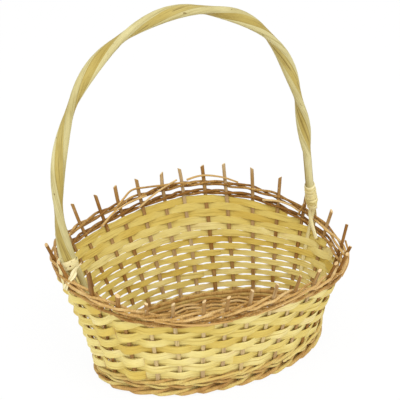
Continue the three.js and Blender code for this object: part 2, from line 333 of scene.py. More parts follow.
def add_piece(strands, name, look, slot, nodes=(), cut="cut", sharp=42):
    """Makes a piece of its strands, with the finishes of its sides and its cut ends, on the
    body it rides, in place of the nodes it stands for."""
    made = finishes(bpy.context.scene.basket.colours)
    piece = strands.make(name, [made[look], made[cut]], sharp)
    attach(piece, "root")
    if nodes:
        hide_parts(*nodes)


def round_ring(centre, across, over, half_across, half_over, sides=8, tilt=0.0, ahead=None):
    """An oval ring of points; a tilt slants it ahead."""
    ring = []
    for s in range(sides):
        turn = TURN * (s + 0.5) / sides
        point = centre + across * half_across * math.cos(turn) + over * half_over * math.sin(turn)
        if ahead is not None:
            point = point + ahead * tilt * half_across * math.cos(turn)
        ring.append(point)
    return ring


# Section of a split strip: width share, thickness share; the outer face is domed
STRIP = (
    (-0.5, 0.05), (-0.47, 0.34), (-0.28, 0.47), (0, 0.52), (0.28, 0.47), (0.47, 0.34),
    (0.5, 0.05), (0.47, -0.4), (0, -0.46), (-0.47, -0.4),
)


def strip_ring(centre, wide_axis, out, wide, thick, lean):
    """The section of a split strip, which leans out by an angle."""
    turned = wide_axis * math.cos(lean) + out * math.sin(lean)
    normal = out * math.cos(lean) - wide_axis * math.sin(lean)
    return [centre + turned * wide * w + normal * thick * t for w, t in STRIP]


def on_line(low, high, start, end, x):
    """Point at x on the line that passes through low at start and high at end."""
    return low * ((end - x) / (end - start)) + high * ((x - start) / (end - start))


def catmull(points, steps):
    """Centripetal curve through points, as the part's source draws its hoop."""
    ends = [points[0] * 2 - points[1]] + list(points) + [points[-1] * 2 - points[-2]]
    drawn = []
    for k in range(1, len(ends) - 2):
        p = ends[k - 1:k + 3]
        t = [0.0]
        for a, b in zip(p, p[1:]):
            t.append(t[-1] + max((b - a).length, 1e-6) ** 0.5)
        for step in range(steps):
            x = t[1] + (t[2] - t[1]) * step / steps
            a = [on_line(p[i], p[i + 1], t[i], t[i + 1], x) for i in range(3)]
            b = [on_line(a[i], a[i + 1], t[i], t[i + 2], x) for i in range(2)]
            drawn.append(on_line(b[0], b[1], t[1], t[2], x))
    drawn.append(points[-1].copy())
    return drawn


def ahead_at(path, k):
    """Direction of a path at one of its points."""
    return (path[min(k + 1, len(path) - 1)] - path[max(k - 1, 0)]).normalized()


def rod_along(path, radius, sides=8, taper=0.0, seed=0.0):
    """Rings of a thin rod on a path of points."""
    rings = []
    last = len(path) - 1
    for k, centre in enumerate(path):
        ahead = ahead_at(path, k)
        side = ahead.cross(UP)
        if side.length < 0.1:
            side = ahead.cross(Vector((0, 1, 0)))
        side.normalize()
        uneven = 1 + 0.1 * noise.noise(centre * 0.06 + Vector((seed, 0, 0)))
        thick = radius * (1 - taper * k / last) * uneven
        rings.append(round_ring(centre, side, side.cross(ahead), thick, thick, sides))
    return rings


def path_of(places, steps):
    """A curve through spots beside the wall, given as position, distance out and rise."""
    return catmull([spot(*at) for at in places], steps)


def walk(places, steps):
    """The points of such a curve, each with its direction, position and share of the way."""
    fine = path_of(places, steps)
    last = len(fine) - 1
    for k, centre in enumerate(fine):
        way = k / last * (len(places) - 1)
        low = min(int(way), len(places) - 2)
        position = places[low][0] + (places[low + 1][0] - places[low][0]) * (way - low)
        yield centre, ahead_at(fine, k), position, k / last


# Finishes


def linear(red, green, blue):
    """A colour of the screen, 0 to 255, as the shader reads it."""
    return tuple(
        (c / 255 / 12.92 if c / 255 <= 0.04045 else ((c / 255 + 0.055) / 1.055) ** 2.4)
        for c in (red, green, blue)
    ) + (1.0,)


class Tree:
    """Adds nodes to a tree, with inputs given as values or sockets."""

    def __init__(self, tree):
        self.tree = tree

    def node(self, kind, inputs=None, out=0, **settings):
        made = self.tree.nodes.new(kind)
        for key, value in settings.items():
            setattr(made, key, value)
        for key, value in (inputs or {}).items():
            if isinstance(value, bpy.types.NodeSocket):
                self.tree.links.new(value, made.inputs[key])
            else:
                made.inputs[key].default_value = value
        return made.outputs[out]

    def maths(self, operation, a, b=0.0):
        return self.node("ShaderNodeMath", {0: a, 1: b}, operation=operation)

    def times(self, a, b):
        return self.maths("MULTIPLY", a, b)

    def plus(self, a, b):
        return self.maths("ADD", a, b)

    def seen(self):
        """1 for what the camera sees, directly, in gloss or through glass, and else 0."""
        rays = self.tree.nodes.new("ShaderNodeLightPath").outputs
        direct = self.maths("MAXIMUM", rays["Is Camera Ray"], rays["Is Glossy Ray"])
        return self.maths("MAXIMUM", direct, rays["Is Transmission Ray"])


# The depth of a finish's bump, in metres
BUMP_DEPTH = 0.0006


class Finish(Tree):
    """A material and the nodes that its finish is made of."""

    def __init__(self, name):
        self.material = bpy.data.materials.new(name)
        self.material.use_nodes = True
        super().__init__(self.material.node_tree)
        self.shader = self.tree.nodes["Principled BSDF"]
        self.shader.inputs["Specular IOR Level"].default_value = 0.2

    def mix(self, factor, a, b, blend="MIX"):
        return self.node("ShaderNodeMix", {0: factor, 6: a, 7: b}, out=2, data_type="RGBA",
                         blend_type=blend)

    def ramp(self, factor, stops):
        made = self.tree.nodes.new("ShaderNodeValToRGB")
        self.tree.links.new(factor, made.inputs[0])
        elements = made.color_ramp.elements
        while len(elements) < len(stops):
            elements.new(0.5)
        for element, (at, colour) in zip(elements, stops):
            element.position = at
            element.color = colour
        return made.outputs[0]

    def band(self, value, low, high):
        """0 at low and 1 at high, eased."""
        return self.node("ShaderNodeMapRange", {0: value, 1: low, 2: high, 3: 0.0, 4: 1.0},
                         interpolation_type="SMOOTHSTEP")

    def attribute(self, name):
        return self.node("ShaderNodeAttribute", out=2, attribute_name=name)

    def strand_noise(self, along, around, seed, detail, rough):
        """Noise drawn out along the strand, with a place of its own for each tone."""
        split = self.tree.nodes.new("ShaderNodeSeparateXYZ")
        self.tree.links.new(self.node("ShaderNodeUVMap", uv_map="UVMap"), split.inputs[0])
        here = self.node("ShaderNodeCombineXYZ", {
            0: self.times(split.outputs[0], along),
            1: self.times(split.outputs[1], around),
            2: self.plus(self.times(self.attribute("tone"), 61.0), seed),
        })
        return self.node("ShaderNodeTexNoise", {
            "Vector": here, "Scale": 1.0, "Detail": detail, "Roughness": rough})

    def done(self, colour, height, bump, rough):
        """Joins colour, bump and roughness to the shader."""
        normal = self.node("ShaderNodeBump", {
            "Strength": bump, "Distance": BUMP_DEPTH, "Height": height})
        for name, socket in (("Base Color", colour), ("Normal", normal), ("Roughness", rough)):
            self.tree.links.new(socket, self.shader.inputs[name])
        return self.material


# Patterns on a strand: cells per metre along and round it, seed, detail and roughness
BLOTCHES = (26, 90, 3.1, 2.0, 0.55)
STREAKS = (16, 1150, 11.7, 3.0, 0.6)
GRAIN = (90, 2600, 5.3, 2.0, 0.6)
FLECKS = (170, 420, 23.9, 1.0, 0.5)

# Values of a pattern between which its marks come up
STREAK_BAND = (0.5, 0.72)
GRAIN_BAND = (0.5, 0.75)
FLECK_BAND = (0.7, 0.76)

# How far blotches and broad patches move the colour along its ramp
BLOTCH_SHARE = 0.62
PATCH_SHARE = 0.4
PATCH_SCALE = 21.0

# A flat split sinks in between the rods: the middle of its broad face, as a share of half its girth, and
# how far from there the painted shade of its creases, where it sinks under the rods, and the dark line
# along its middle come up
FACE_MIDDLE = 0.415
CREASE_SHADE_BAND = (0.25, 0.31)
SPLIT_BAND = (0.05, 0.015)


def willow(colours, name, stops, streak, share, bump, flecks=None, crease_shade_and_middle_line=None,
           rough=(0.5, 0.68), tone_share=0.55):
    """Peeled or barked willow: tones from rod to rod, blotches, long streaks and fine grain,
    and on some rods flecks, or painted shade in the creases where a flat split sinks in between the
    rods, with a dark line along its middle."""
    f = Finish(name)
    streak = linear(*streak)
    blotches, streaks, grain = (f.strand_noise(*p) for p in (BLOTCHES, STREAKS, GRAIN))
    patches = f.node("ShaderNodeTexNoise", {
        "Vector": f.node("ShaderNodeTexCoord", out=3), "Scale": PATCH_SCALE, "Detail": 2.0,
        "Roughness": 0.5})
    value = f.plus(f.times(f.attribute("tone"), tone_share), f.times(blotches, BLOTCH_SHARE))
    value = f.plus(value, f.times(patches, PATCH_SHARE))
    value = f.plus(value, -(tone_share / 2 + 0.01))
    colour = f.ramp(value, [
        (at, tuple(getattr(colours, c)) + (1,) if isinstance(c, str) else linear(*c))
        for at, c in stops])
    colour = f.mix(f.times(f.band(streaks, *STREAK_BAND), share), colour, streak)
    fine = f.times(f.band(grain, *GRAIN_BAND), share * 0.4)
    colour = f.mix(fine, colour, streak, "MULTIPLY")
    if flecks:
        marks = f.times(f.band(f.strand_noise(*FLECKS), *FLECK_BAND), 0.8)
        colour = f.mix(marks, colour, linear(*flecks))
    # Painted shade: the edges of a flat split, where it sinks under the rods, are drawn darker, and the
    # same dark colour draws a patchy line along its middle
    if crease_shade_and_middle_line:
        half = f.maths("FRACT", f.times(f.attribute("turn"), 2.0))
        beside = f.maths("ABSOLUTE", f.plus(half, -FACE_MIDDLE))
        colour = f.mix(f.times(f.band(beside, *CREASE_SHADE_BAND), 0.85), colour, linear(*crease_shade_and_middle_line))
        split = f.times(f.band(beside, *SPLIT_BAND), f.band(blotches, 0.45, 0.55))
        colour = f.mix(f.times(split, 0.7), colour, linear(*crease_shade_and_middle_line))
    height = f.plus(f.times(streaks, 0.7), f.times(grain, 0.3))
    height = f.plus(height, f.times(blotches, 0.8))
    shine = f.node("ShaderNodeMapRange", {
        0: streaks, 1: 0.3, 2: 0.7, 3: rough[0], 4: rough[1]})
    return f.done(colour, height, bump, shine)


# The finishes: colour and strength of the streaks, the bump and the rest, then the colours
# from dark to light at their places on the ramp; a name stands for a colour of the settings
LOOKS = {
    "bark": dict(
        name="bark", streak=(82, 46, 10), share=0.6, bump=0.5, flecks=(204, 184, 150),
        stops=((0.2, (104, 64, 18)), (0.45, "bark"), (0.65, (166, 129, 76)),
               (0.88, (192, 165, 122)), (1.0, (208, 184, 128)))),
    "strip": dict(
        name="split_strip", streak=(172, 140, 56), share=0.7, bump=0.3, rough=(0.48, 0.62),
        stops=((0.12, (203, 173, 78)), (0.34, (214, 190, 98)), (0.55, "strip"),
               (0.75, (230, 215, 143)), (0.95, (226, 203, 150)))),
    "border": dict(
        name="border_rod", streak=(118, 74, 24), share=0.6, bump=0.45, flecks=(232, 212, 178),
        stops=((0.15, (142, 98, 40)), (0.38, (190, 150, 84)), (0.62, (212, 176, 112)),
               (0.88, (228, 202, 150)))),
    "foot": dict(
        name="foot_rod", streak=(126, 84, 34), share=0.5, bump=0.45,
        stops=((0.15, (150, 108, 50)), (0.35, (190, 150, 88)), (0.55, (206, 178, 104)),
               (0.75, (218, 200, 124)), (0.95, (214, 176, 136)))),
    "peeled": dict(
        name="peeled_rod", streak=(142, 126, 66), share=0.6, bump=0.25, flecks=(112, 92, 44),
        rough=(0.42, 0.56), tone_share=0.35,
        stops=((0.15, (170, 152, 88)), (0.4, "peeled"), (0.65, (204, 194, 142)),
               (0.9, (216, 208, 168)))),
    "filler": dict(
        name="handle_filler", streak=(118, 94, 38), share=0.75, bump=0.4, crease_shade_and_middle_line=(112, 88, 34),
        stops=((0.15, (156, 132, 60)), (0.45, (178, 158, 86)), (0.8, (192, 176, 110)))),
    "wrap": dict(
        name="wrap_strip", streak=(168, 142, 80), share=0.6, bump=0.35, flecks=(150, 122, 66),
        stops=((0.15, (204, 186, 118)), (0.4, (222, 208, 146)), (0.7, (232, 220, 168)),
               (0.95, (238, 228, 186)))),
    "cut": dict(
        name="cut_end", streak=(150, 108, 62), share=0.4, bump=0.3,
        stops=((0.2, (196, 160, 108)), (0.6, (220, 190, 138)), (0.9, (228, 204, 160)))),
}

# The materials of these finishes, once the first piece has asked for them
MATERIALS = {}


def finishes(colours):
    """The materials, made once and shared by the pieces."""
    if not MATERIALS:
        for key, look in LOOKS.items():
            MATERIALS[key] = willow(colours, **look)
    return MATERIALS


# Sizes and colours that a user would change


class StakeSettings(bpy.types.PropertyGroup):
    radius: FloatProperty(
        name="Radius", description="Radius of a stake at the rim", default=0.0021, min=0.001, max=0.004,
        subtype="DISTANCE", unit="LENGTH")
    tip: FloatProperty(
        name="Tip", description="Length of a stake above the rim", default=0.019, min=0.0, max=0.03,
        subtype="DISTANCE", unit="LENGTH")


class BandSettings(bpy.types.PropertyGroup):
    thickness: FloatProperty(
        name="Thickness", description="Thickness of a woven strip", default=0.001, min=0.0005, max=0.002,
        subtype="DISTANCE", unit="LENGTH")
    front_fill: FloatProperty(
        name="Front fill", description="Share of a row that the strip fills at the front",
        default=1.08, min=0.6, max=1.3, subtype="FACTOR")
    back_fill: FloatProperty(
        name="Back fill", description="Share of a row that the strip fills low down at the back",
        default=0.78, min=0.6, max=1.2, subtype="FACTOR")


class RodSettings(bpy.types.PropertyGroup):
    border: FloatProperty(
        name="Border rod", description="Radius of the thin rods of the border", default=0.00145,
        min=0.0008, max=0.002, subtype="DISTANCE", unit="LENGTH")
    rope: FloatProperty(
        name="Foot rope rod", description="Radius of the thick rods that the basket stands on",
        default=0.0022, min=0.001, max=0.003, subtype="DISTANCE", unit="LENGTH")
    foot: FloatProperty(
        name="Foot rod", description="Radius of the thin rods above the foot rope", default=0.0017,
        min=0.0008, max=0.002, subtype="DISTANCE", unit="LENGTH")
    mat: FloatProperty(
        name="Base rod", description="Radius of the rods of the base", default=0.00145,
        min=0.0008, max=0.002, subtype="DISTANCE", unit="LENGTH")
    rings: IntProperty(
        name="Base rings", description="Rings of rod woven round the spokes of the base", default=20,
        min=5, max=24)


class HandleSettings(bpy.types.PropertyGroup):
    radius: FloatProperty(
        name="Rod radius", description="Radius of the two main rods of the handle", default=0.0037,
        min=0.002, max=0.005, subtype="DISTANCE", unit="LENGTH")
    filler: FloatProperty(
        name="Filler width", description="Width of the flat splits laid in the handle's grooves",
        default=0.0108, min=0.003, max=0.012, subtype="DISTANCE", unit="LENGTH")
    wrap: FloatProperty(
        name="Wrap width", description="Width of the strips that bind the handle's feet",
        default=0.0062, min=0.003, max=0.009, subtype="DISTANCE", unit="LENGTH")


class ColourSettings(bpy.types.PropertyGroup):
    bark: FloatVectorProperty(
        name="Bark", description="Main colour of the stakes", default=linear(148, 103, 44)[:3],
        size=3, min=0.0, max=1.0, subtype="COLOR")
    strip: FloatVectorProperty(
        name="Strip", description="Main colour of the woven strips", default=linear(219, 199, 114)[:3],
        size=3, min=0.0, max=1.0, subtype="COLOR")
    peeled: FloatVectorProperty(
        name="Peeled", description="Main colour of the handle", default=linear(187, 175, 121)[:3],
        size=3, min=0.0, max=1.0, subtype="COLOR")


class StageSettings(bpy.types.PropertyGroup):
    key: FloatProperty(
        name="Key light", description="Power of the large lamp at the front", default=24.0,
        min=0.0, max=500.0, subtype="POWER", unit="POWER")
    sky: FloatProperty(
        name="Sky", description="Strength of the plain light from all round", default=0.92,
        min=0.0, max=2.0)


class BasketSettings(bpy.types.PropertyGroup):
    stakes: PointerProperty(type=StakeSettings)
    bands: PointerProperty(type=BandSettings)
    rods: PointerProperty(type=RodSettings)
    handle: PointerProperty(type=HandleSettings)
    colours: PointerProperty(type=ColourSettings)
    stage: PointerProperty(type=StageSettings)


# Rounds of weaving

# The solids that stand for the rows: the full rounds, then the short ones
ROW_NODES = (1, 2, 3, 4, 5, 8, 11, 14, 6, 7, 9, 10, 12, 13)

# Positions past this one are looked up in ROW_COUNT as less than zero
LAST_POSITION = 25

# Room between the top row and the border, in millimetres
BORDER_ROOM = 0.8


def row_count(position):
    """Rows that fit between the foot and the border at a position."""
    local = position % STAKES
    if local > LAST_POSITION:
        local -= STAKES
    for (low, fewer), (high, more) in zip(ROW_COUNT, ROW_COUNT[1:]):
        if low <= local <= high:
            return fewer + (more - fewer) * (local - low) / (high - low)
    return FULL_ROUNDS


def row_span(index):
    """Where a short row starts and ends: it runs out just under the border."""
    fine = 20
    steps = [k / fine for k in range((LAST_POSITION - STAKES) * fine, LAST_POSITION * fine)]
    held = [p for p in steps if row_count(p) >= index + 0.25]
    return held[0], held[-1]


def band_row(index, position):
    """Height of a row's middle and the height it may fill, at a position."""
    room = rim_at(position) - BORDER_DEPTH - BORDER_ROOM - FOOT_TOP
    pitch = room / row_count(position)
    return FOOT_TOP + pitch * (index + 0.5), pitch


def row_fill(index, angle, settings):
    """Share of its row that a strip fills between stakes, outside one and inside one: less
    low down at the back, where light shows."""
    back = smooth((math.sin(angle) + 0.1) / 0.6)
    high = smooth((index - 5) / 5)
    loose = settings.back_fill + (settings.front_fill - 0.08 - settings.back_fill) * high
    between = settings.front_fill + (loose - settings.front_fill) * back
    left = smooth((-0.2 - math.cos(angle)) / 0.5) * (1 - back)
    return between, between + 0.1 + 0.04 * back - 0.24 * left, between + 0.36 - 0.22 * back


# Height at which the stakes start, in millimetres, and the rings that each is drawn with
STAKE_START = 1.5
STAKE_STEPS = 22

# The position round which the front stakes are palest, and how far to its sides they are pale
PALE_MIDDLE = 19.8
PALE_REACH = 5.2


class BASKET_OT_stakes(bpy.types.Operator):
    """Adds the thirty stakes, each a slightly crooked rod with a slanted cut"""
    bl_idname = "basket.stakes"
    bl_label = "Stakes"

    def execute(self, context):
        for n in range(STAKES):
            strands = Strands()
            self.stake(strands, n, context.scene.basket.stakes)
            number = "%02d" % (n + 1)
            add_piece(strands, "stake_rod_" + number, "bark", "stake_brown", ["stake_" + number])
        return {"FINISHED"}

    def stake(self, strands, n, settings):
        """One stake. Those at the back are lighter than most, and those at the front have
        pale legs and darker tips."""
        rng = random.Random(100 + n)
        angle = angle_at(n)
        rim = rim_height(angle)
        tip = settings.tip * 1000
        rim_stray, tip_stray, shorter = STRAY.get(n, (0, 0, rng.uniform(-1, 2)))
        top = rim + tip - shorter
        radius = settings.radius * 1000 * rng.uniform(0.94, 1.06)
        lean_out = rng.uniform(-0.6, 0.6)
        pale = smooth((PALE_REACH - abs(n - PALE_MIDDLE)) / 3)
        tone = 0.15 + 0.6 * rng.random() + (0.32 if 1 < n < 13 else 0)
        rings, tones = [], []
        for k in range(STAKE_STEPS + 1):
            z = STAKE_START + (top - STAKE_START) * k / STAKE_STEPS
            light = 1.34 - 0.5 * smooth((z - rim + 12) / 12)
            tones.append(tone * (1 - pale) + light * pale)
            centre, along, up, out = place(n, z, angle)
            above = max(z - rim, 0) / tip
            centre = centre + along * (tip_stray - rim_stray) * above + out * lean_out * above
            drift = Vector((z * 0.03, n * 2.7, 0))
            centre = centre + along * 0.35 * noise.noise(drift)
            thick = radius * (1.14 - 0.14 * k / STAKE_STEPS) * (1 + 0.05 * noise.noise(drift * 3))
            thick *= 1 + STOUT.get(n, 0) * smooth((z - rim + 8) / 12)
            deep = thick * (STAKE_DEPTH / STAKE_RADIUS + 0.27 * smooth((z - rim + 20) / 14))
            tilt = rng.uniform(0.3, 0.9) * rng.choice((-1, 1)) if k == STAKE_STEPS else 0
            rings.append(round_ring(centre, along, out, thick, deep, sides=10, tilt=tilt, ahead=up))
        strands.add(rings, tones, roll=rng.random())


def band_ring(index, position, settings, seed, shift):
    """One ring of a strip of a row, on the side of the stakes that its turn gives. At the
    left end the strips stand off and lean, so that they step in the outline."""
    thick = settings.thickness * 1000
    angle = angle_at(position)
    z, pitch = band_row(index, position)
    over = side_of(position) * (-1) ** index
    between, outside, inside = row_fill(index, angle, settings)
    if over > 0:
        fill = between + (outside - between) * over * over
    else:
        fill = between + (inside - between) * min(-2 * over, 1)
    fill += 0.06 * wander(position, seed + 5, 4)
    hidden = max(-over, 0) * smooth((0.2 - math.sin(angle)) / 0.5)
    z += pitch * (0.05 * wander(position, seed + 9, 5) - 0.2 * hidden)
    centre, _, up, out = place(position, z, angle)
    upright = smooth((-0.6 - math.cos(angle)) / 0.3) * max(over, 0)
    reach = (STAKE_DEPTH + thick / 2 + 0.1) * over + 2.6 * upright
    lean = 0.1 * wander(position, seed + 2, 6) - 0.46 * upright
    return strip_ring(centre + out * (reach + shift), up, out, pitch / up.z * fill, thick, lean)


class BASKET_OT_bands(bpy.types.Operator):
    """Adds the rows of split strips, woven in front of and behind the stakes"""
    bl_idname = "basket.bands"
    bl_label = "Woven strips"

    def execute(self, context):
        for index, node in enumerate(ROW_NODES):
            rng = random.Random(500 + index)
            strands = Strands()
            if index < FULL_ROUNDS:
                joins = sorted(rng.sample(range(STAKES), 3))
                ends = joins[1:] + [joins[0] + STAKES]
                spans = [(a - 0.45, b + 0.5) for a, b in zip(joins, ends)]
            else:
                spans = [row_span(index)]
            for span in spans:
                rings = self.strip(index, span, context.scene.basket.bands, rng.uniform(0, 90))
                strands.add(rings, rng.random(), roll=rng.random() * 3)
            add_piece(strands, "woven_row_%02d" % (index + 1), "strip", "band_yellow",
                      ["band_%02d" % node])
        return {"FINISHED"}

    def strip(self, index, span, settings, seed):
        """Rings of one strip; its ends lap the next strips of a full round."""
        rings = []
        first, last = span
        steps = int((last - first) * 12)
        for k in range(steps + 1):
            p = first + (last - first) * k / steps
            lap = 0.5 * smooth((p - last + 1.3) / 0.8) - 0.5 * smooth((first + 1.3 - p) / 0.8)
            rings.append(band_ring(index, p, settings, seed, lap if index < FULL_ROUNDS else 0))
        return rings


def waled_rods(strands, level, radius, lift, count, seed, depth, pull=0.0, spread=0.3, darker=0.0):
    """Closed rods at a level above the ground, or below the rim where it is negative. Two
    rods pass outside one stake and inside the next, three outside two and inside the next,
    each a stake behind the last."""
    rng = random.Random(seed)
    steps = STAKES * 8
    for k in range(count):
        own = rng.uniform(0, 90)
        thick = radius * rng.uniform(0.9, 1.1)
        tone = 0.15 + 0.7 * rng.random()
        rings, tones = [], []
        for step in range(steps):
            p = STAKES * step / steps
            if count == 2:
                phase = math.pi * (p - k)
                reach, rise = -math.cos(phase), math.sin(phase)
            else:
                phase = TURN * (p - k) / 3
                swell = 1 / 3 - 4 / 3 * math.cos(phase)
                reach, rise = min(swell, 1.05 + 0.12 * (swell - 1.05)), -math.sin(phase)
            angle = angle_at(p)
            z = level if level >= 0 else rim_height(angle) + level
            centre, _, up, out = place(p, z, angle)
            away = (depth + radius) * reach + pull + spread * wander(p, own + 1, 5)
            centre = centre + out * away + up * (lift * rise + spread * 2 * wander(p, own, 5))
            width = thick * (1 + 0.12 * wander(p, own + 3, 8))
            rings.append(round_ring(centre, out, up, width, width))
            # The rods are drawn darker towards the back of the oval, by the share darker
            back_darkening = darker * smooth((math.sin(angle) + 0.2) / 0.8)
            tones.append(tone + 0.35 * wander(p, own + 7, 7) - back_darkening)
        strands.add(rings, tones, closed=True, roll=rng.random() * 3)


class BASKET_OT_border(bpy.types.Operator):
    """Adds the two bundles of thin rods below the tips"""
    bl_idname = "basket.border"
    bl_label = "Border"

    def execute(self, context):
        radius = context.scene.basket.rods.border * 1000
        drops = {"low": BORDER_PITCH + BORDER_HALF, "top": BORDER_HALF}
        for n, (row, drop) in enumerate(drops.items()):
            strands = Strands()
            waled_rods(strands, -drop, radius, radius * 1.5, count=3, seed=40 + n, depth=1.6,
                       spread=0.55, darker=0.5)
            name = "border_" + row
            add_piece(strands, name, "border", "border_brown", [name + "_a", name + "_b"])
        return {"FINISHED"}


# Levels of the thin rods above the foot rope: a pair, then three
PAIR_LEVEL = 11.6
THREE_LEVEL = 18.0

# The plain rods that close the foot from inside: their levels and how far inside the stakes
FOOT_LINING = ((2.6, 0), (2.6, 3.4), (6.2, 3.6), (10.1, 3.6), (14, 3.6), (17.9, 3.6))
LINING_RADIUS = 2.2


class BASKET_OT_foot(bpy.types.Operator):
    """Adds the rope that the basket stands on and the thin rods above it"""
    bl_idname = "basket.foot"
    bl_label = "Foot"

    def execute(self, context):
        rods = context.scene.basket.rods
        rope, thin = rods.rope * 1000, rods.foot * 1000
        strands = Strands()
        waled_rods(strands, rope * 2, rope, rope, count=3, seed=60, depth=1.4)
        strands.rest_on_ground()
        add_piece(strands, "foot_rope", "foot", "foot_rods", ["foot_rope_a", "foot_rope_b"])
        strands = Strands()
        waled_rods(strands, PAIR_LEVEL, thin, thin * 0.5, count=2, seed=62, depth=0.9)
        waled_rods(strands, THREE_LEVEL, thin, thin, count=3, seed=64, depth=0.9)
        for n, (height, inward) in enumerate(FOOT_LINING):
            waled_rods(strands, height, LINING_RADIUS, 0.2, count=1, seed=66 + n, depth=-2,
                       pull=-inward)
        strands.rest_on_ground()
        add_piece(strands, "foot_wale", "foot", "foot_rods", ["foot_wale_a", "foot_wale_b"])
        return {"FINISHED"}


# The mat of the base: the spokes, and the height of its middle above that of the sticks
SPOKES = 22
MAT_RISE = 2.6

# The sticks under the base, in millimetres: how far their ends stay inside their boxes, and
# how far the long one rises over the others between two shares of its length
STICK_INSET = 1.5
STICK_RADIUS = 1.6
STICK_RISE = 4.9
RISE_SPAN = (0.06, 0.94)
LONG_SHARES = (0, 0.03, 0.06, 0.09, 0.3, 0.5, 0.7, 0.91, 0.94, 0.97, 1)


def mat_point(turn, share):
    """Point of the mat, from its edge at share 0 to its middle at share 1."""
    half_x = BASE_HALF[0] - MAT_EDGE + (MAT_CORE[0] - BASE_HALF[0] + MAT_EDGE) * share
    half_y = BASE_HALF[1] - MAT_EDGE + (MAT_CORE[1] - BASE_HALF[1] + MAT_EDGE) * share
    return Vector((
        BASE_SHIFT[0] + half_x * math.cos(turn),
        BASE_SHIFT[1] + half_y * math.sin(turn),
        STICK_LEVEL + MAT_RISE,
    ))


class BASKET_OT_base(bpy.types.Operator):
    """Adds the base: rings of rod woven over and under spokes, on its sticks"""
    bl_idname = "basket.base"
    bl_label = "Base"

    def execute(self, context):
        rods = context.scene.basket.rods
        radius = rods.mat * 1000
        rng = random.Random(81)
        strands = Strands()
        for n in range(SPOKES):
            path = self.spoke(TURN * (n + 0.5) / SPOKES)
            spoke = rod_along(path, radius * 1.2, taper=0.2, seed=n)
            strands.add(spoke, rng.random(), roll=rng.random())
        for n in range(rods.rings):
            share = 1.06 * n / (rods.rings - 1) - 0.07
            ring = self.ring(share, radius, n, rng.uniform(0, 90))
            strands.add(ring, rng.random(), closed=True, roll=rng.random())
        add_piece(strands, "base_weave", "border", "stake_brown", ["base_mat"])
        for name in ("base_stick_long", "base_stick_cross_a", "base_stick_cross_b"):
            strands = Strands()
            path = catmull(self.stick(name), 4)
            stick = rod_along(path, STICK_RADIUS, sides=10, taper=0.1, seed=rng.random() * 9)
            strands.add(stick, rng.random())
            add_piece(strands, name.replace("base", "under"), "bark", "stake_brown", [name])
        return {"FINISHED"}

    def spoke(self, turn):
        """Path of a spoke from the middle of the mat to the wall."""
        path = [mat_point(turn, 0.97 * (1 - k / 12)) for k in range(13)]
        end = path[-1]
        share_x = (end.x - BASE_SHIFT[0]) / BASE_HALF[0]
        share_y = (end.y - BASE_SHIFT[1]) / BASE_HALF[1]
        edge = wall_point(math.atan2(share_y, share_x), end.z)
        path.append(end.lerp(edge, 0.75))
        return path

    def ring(self, share, radius, number, seed):
        """Rings of points of a rod that goes over and under the spokes."""
        rings = []
        steps = SPOKES * 6
        nudge = 0.02
        for k in range(steps):
            turn = TURN * k / steps
            ahead = mat_point(turn + nudge, share) - mat_point(turn - nudge, share)
            side = ahead.normalized().cross(UP)
            phase = math.pi * (turn / TURN * SPOKES - 0.5 + number)
            drift = Vector((math.cos(turn) * 3, math.sin(turn) * 3, seed))
            centre = mat_point(turn, share) + UP * (radius * 1.9 * math.cos(phase))
            centre = centre + side * 0.5 * noise.noise(drift)
            rings.append(round_ring(centre, side, UP, radius, radius, 7))
        return rings

    def stick(self, name):
        """Path of a stick through the box of its node."""
        low, high = (Vector(corner) * 1000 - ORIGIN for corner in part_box(name))
        if name.endswith("long"):
            middle = (low.y + high.y) / 2
            left = Vector((low.x + STICK_INSET, middle, STICK_LEVEL))
            right = Vector((high.x - STICK_INSET, middle, STICK_LEVEL))
            raised = [STICK_RISE if RISE_SPAN[0] < s < RISE_SPAN[1] else 0 for s in LONG_SHARES]
            return [left.lerp(right, s) + UP * rise for s, rise in zip(LONG_SHARES, raised)]
        middle = (low.x + high.x) / 2
        first, length = low.y + STICK_INSET, high.y - low.y - 2 * STICK_INSET
        return [Vector((middle, first + length * k / 8, STICK_LEVEL)) for k in range(9)]


# Handle

# Depths below the rim of the points through which a leg runs
LEG_DROPS = (LEG_DEPTH, LEG_DEPTH / 2, 14, 0)

# Where the handle turns edge-on to the front: heights up its left side, shares of the way
# across, and heights down its right side
WAISTS_UP = (219, 322)
WAISTS_ACROSS = (0.247, 0.564, 0.814)
WAISTS_DOWN = (261, 190)
TWIST_VIEW = Vector((-0.366, -0.83, 0.42))


def foot_point(angle, drop):
    """Point of a leg at a depth below the rim, inside the wall."""
    z = rim_height(angle) - drop
    return wall_point(angle, z) - wall_axes(angle, z)[2] * FOOT_INSET


def hoop_path():
    """The handle's centre line from inside the left wall to inside the right one."""
    left, right = foot_point(FOOT_LEFT, 0), foot_point(FOOT_RIGHT, 0)
    points = [foot_point(FOOT_LEFT, drop) for drop in LEG_DROPS]
    for share, height in HOOP_OUTLINE:
        point = left.lerp(right, share)
        points.append(Vector((point.x, point.y, height)))
    points += [foot_point(FOOT_RIGHT, drop) for drop in reversed(LEG_DROPS)]
    return catmull(points, 14)


